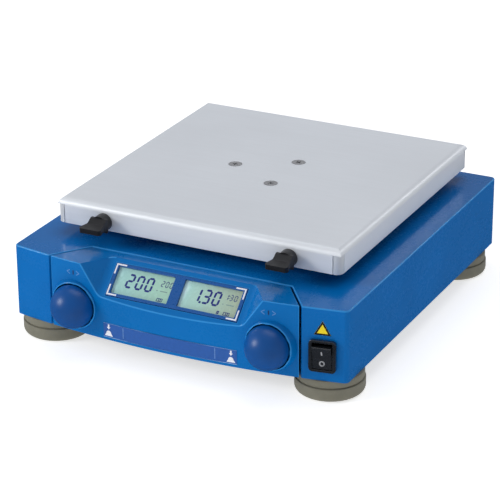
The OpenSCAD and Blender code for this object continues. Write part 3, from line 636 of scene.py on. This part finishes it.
def print_piece(name, material, outlines, inner=-0.05, outer=0.27):
    bm = bmesh.new()
    for outline in outlines:
        bow_patch(bm, outline, inner, outer)
    return finish_mesh(bm, name, material, "base", 20)


def long_line(x_from, x_to, z, width, steps=24):
    """A horizontal line with enough points to follow the bow."""
    xs = [x_from + (x_to - x_from) * i / steps for i in range(steps + 1)]
    return [(x, z - width / 2) for x in xs] + [(x, z + width / 2) for x in reversed(xs)]


def push_mark(x):
    """A dome with a small arrow over it: press here."""
    dome = [(x - 3.3, 19.9), (x + 3.3, 19.9), (x + 2.3, 21.6),
            *circle_points((x, 22.0), 2.0, 11, 0, 180), (x - 2.3, 21.6)]
    arrow = [(x, 24.9), (x + 1.5, 26.8), (x + 0.6, 26.8), (x + 0.6, 28.8), (x - 0.6, 28.8),
             (x - 0.6, 26.8), (x - 1.5, 26.8)]
    return [dome, arrow]


def chevron(x, z, turn, size=2.6):
    """An open arrow head made of two strokes."""
    tip = (x - turn * size, z)
    return [stroke(tip, (x, z + size * 0.62), 0.55), stroke(tip, (x, z - size * 0.62), 0.55)]


def build_prints():
    """Label strip, push marks and the turn marks over the knobs; their words are left out."""
    dress(LABEL, "label_strip")
    white = [*push_mark(-PUSH_MARK_X), *push_mark(PUSH_MARK_X)]
    print_piece("push_marks", LINE_WHITE, white)
    dividers = [stroke((x, 20.4), (x, 28.6), 0.32) for x in (-STRIP_DIVIDER_X, STRIP_DIVIDER_X)]
    lines = [long_line(-STRIP_HALF, STRIP_HALF, 18.95, 0.45), *dividers,
             long_line(-STRIP_HALF, STRIP_HALF, 29.5, 0.2)]
    print_piece("label_lines", LINE_PALE, lines)
    pale, dark = [], []
    for x in (-79.0, 75.5):
        pale += chevron(x - 2.0, TURN_MARK_Z, 1) + chevron(x + 3.4, TURN_MARK_Z, -1)
        dark.append(stroke((x + 0.8, 60.6), (x + 0.8, 63.8), 1.0))
    print_piece("turn_marks_pale", LINE_FAINT, pale, -0.05, 0.06)
    print_piece("turn_marks_dark", INK_DARK, dark, -0.05, 0.06)
    build_sticker()


def build_sticker():
    """Plain triangle with a dark edge and no symbol."""
    dress(YELLOW, "plain_sticker")
    rise = STICKER_SIDE * math.sin(math.radians(60))
    outer = [(STICKER_X - STICKER_SIDE / 2, STICKER_LOW), (STICKER_X + STICKER_SIDE / 2, STICKER_LOW),
             (STICKER_X, STICKER_LOW + rise)]
    middle = (STICKER_X, STICKER_LOW + rise / 3)

    def scaled(factor):
        return [(middle[0] + (x - middle[0]) * factor, middle[1] + (z - middle[1]) * factor)
                for x, z in outer]

    border = []
    big, small = scaled(0.99), scaled(0.66)
    for i in range(3):
        j = (i + 1) % 3
        border.append([big[i], big[j], small[j], small[i]])
    print_piece("sticker_edge", BLACK, border, 0.1, 0.26)


# ---------------------------------------------------------------- switch, tray and rear

def switch_matrix():
    """The middle of the switch on the bowed face, turned with the bow."""
    bearing = math.asin(SWITCH_X / BOW_R)
    foot = Vector((SWITCH_X, BOW_Y - math.sqrt(BOW_R ** 2 - SWITCH_X ** 2), SWITCH_Z))
    return Matrix.Translation(foot) @ Matrix.Rotation(bearing, 4, "Z")


def build_switch():
    softened("switch_frame", "switch_surround", BLACK_GLOSS, "base", 0.5, clamp=False)
    softened("power_rocker", "rocker_cap", BLACK_GLOSS, "rocker", 0.35)
    axis = switch_matrix() @ Matrix.Translation((0, ROCKER_AXIS_DEPTH, 0))
    place = axis @ Matrix.Rotation(math.radians(ROCKER_TILT), 4, "X")
    low, high = -0.2, 0.08                  # the marks, in and out of the rocker's face
    for name, spot, lean in (("rocker_mark_on", 4.0, 1), ("rocker_mark_off", -4.2, -1)):
        upright = Matrix.Rotation(math.radians(90 + 8.8 * lean), 4, "X")
        face = Matrix.Translation((0, -6.75, spot)) @ upright
        bm = bmesh.new()
        if lean > 0:
            prism(bm, [(-0.5, -1.6), (0.5, -1.6), (0.5, 1.6), (-0.5, 1.6)], low, high, place @ face)
        else:
            steps = 40
            outside = circle_points((0, 0), 2.05, steps)
            inside = circle_points((0, 0), 1.15, steps)
            for i in range(steps):
                j = (i + 1) % steps
                prism(bm, [outside[i], outside[j], inside[j], inside[i]], low, high, place @ face)
            bmesh.ops.remove_doubles(bm, verts=bm.verts, dist=1e-7)
        finish_mesh(bm, name, MARK_GREY, "rocker", 30)


def build_tray():
    softened("platform", "tray_sheet", TRAY, "platform", 0.2, segments=2)
    softened("corner_posts", "tray_corners", POST, "platform", 0.25, segments=2)
    softened("platform_screws", "tray_screws", STEEL, "platform", 0.25, segments=2)
    for side in ("left", "right"):
        softened(f"clamp_lever_{side}", f"lever_{side}_body", BLACK, f"lever_{side}",
                 0.8, turn=18)


def build_rear():
    softened("power_inlet", "inlet_body", BLACK, "base", 0.5)
    softened("fuse_drawer", "fuse_drawer_body", BLACK, "drawer", 0.3)
    softened("serial_port", "serial_port_shell", PLATE, "base", 0.3)


def dress_inner_pieces():
    """Pieces that are inside or under the tray keep their CAD shape."""
    dress(BOARD, "display_board", "main_board", "power_board")
    dress(CABLE, "ribbon_cable")
    dress(BLACK, "encoder_left", "encoder_right")
    dress(WHITE_PLASTIC, "encoder_rotor_left", "encoder_rotor_right", "fuses")
    dress(STEEL_Y, "encoder_shaft_left", "encoder_shaft_right", "lever_studs", "inlet_pins")
    dress(STEEL, "foot_screws", "foot_nuts", "case_screws", "spindle_bearings", "guide_bearings_lower",
          "motor_rotor", "crank_spindle", "guide_crank_left", "guide_crank_right", "guide_crank_front",
          "eccentric_bearing", "guide_bearings_upper")
    dress(CAST, "drive_frame", "guide_posts", "motor_can", "motor_pulley", "drive_pulley", "carrier")
    dress(BELT, "shaft_seals", "drive_belt")
    dress(COPPER, "motor_stator")
    dress(BRASS, "counterweight")


# ---------------------------------------------------------------- studio

def build_camera():
    """The photograph's viewpoint: a long lens, front right, looking down."""
    yaw, pitch, roll = (math.radians(a) for a in (CAMERA_YAW, CAMERA_PITCH, CAMERA_ROLL))
    level = math.cos(pitch)
    forward = Vector((math.sin(yaw) * level, math.cos(yaw) * level, -math.sin(pitch)))
    right = Vector((math.cos(yaw), -math.sin(yaw), 0))
    up = right.cross(forward)
    across = right * math.cos(roll) + up * math.sin(roll)
    upward = up * math.cos(roll) - right * math.sin(roll)
    camera = bpy.data.objects.new("camera", bpy.data.cameras.new("camera"))
    turn = Matrix((across, upward, -forward)).transposed().to_4x4()
    camera.matrix_world = Matrix.Translation(CAMERA_PLACE) @ turn
    camera.data.sensor_width = 36
    camera.data.lens = CAMERA_LENS
    camera.data.clip_start = 0.05
    bpy.context.scene.collection.objects.link(camera)
    bpy.context.scene.camera = camera


def soft_box(name, place, target, size, power, colour=(1, 1, 1)):
    light = bpy.data.lights.new(name, "AREA")
    light.shape = "RECTANGLE"
    light.size, light.size_y = size
    light.energy = power
    light.color = colour
    obj = bpy.data.objects.new(name, light)
    obj.location = place
    obj.rotation_euler = (Vector(target) - Vector(place)).to_track_quat("-Z", "Y").to_euler()
    bpy.context.scene.collection.objects.link(obj)


def build_surround():
    """A white room over a dark table edge: reflections that look down stay deep."""
    world = bpy.data.worlds.new("studio")
    world.use_nodes = True
    tree = world.node_tree
    height = tree.nodes.new("ShaderNodeSeparateXYZ")
    tree.links.new(tree.nodes.new("ShaderNodeTexCoord").outputs["Generated"], height.inputs[0])
    level = tree.nodes.new("ShaderNodeMapRange")
    for key, number in (("From Min", -0.15), ("From Max", 0.1)):
        level.inputs[key].default_value = number
    tree.links.new(height.outputs["Z"], level.inputs["Value"])
    ramp = tree.nodes.new("ShaderNodeValToRGB")
    ramp.color_ramp.elements[0].color = (0.16, 0.19, 0.24, 1)
    ramp.color_ramp.elements[1].color = (0.93, 0.95, 1.0, 1)
    tree.links.new(level.outputs["Result"], ramp.inputs["Fac"])
    background = tree.nodes["Background"]
    tree.links.new(ramp.outputs["Color"], background.inputs["Color"])
    background.inputs["Strength"].default_value = 0.4
    bpy.context.scene.world = world


def build_studio():
    """White floor, the room around it and three soft boxes."""
    half = 4000
    bm = bmesh.new()
    prism(bm, [(-half, -half), (half, -half), (half, half), (-half, half)], -20, 0)
    mesh = bpy.data.meshes.new("floor")
    bm.to_mesh(mesh)
    bm.free()
    mesh.materials.append(floor_white())
    floor = bpy.data.objects.new("floor", mesh)
    bpy.context.scene.collection.objects.link(floor)
    floor.visible_glossy = False
    build_surround()
    soft_box("key", (-1.6, -1.4, 1.0), (0, 0, 0.05), (0.8, 0.7), 21)
    soft_box("overhead", (0.1, 0.5, 1.9), (0, 0, 0.1), (1.6, 1.2), 8.5, (0.95, 0.97, 1.0))
    soft_box("rim", (1.0, 1.8, 0.95), (0.1, 0, 0.05), (0.5, 0.3), 3)
    view = bpy.context.scene.view_settings
    view.view_transform = "Standard"
    view.look = "None"


build_camera()
build_studio()
build_housing()
build_feet()
build_knobs()
build_displays()
build_prints()
build_switch()
build_tray()
build_rear()
dress_inner_pieces()
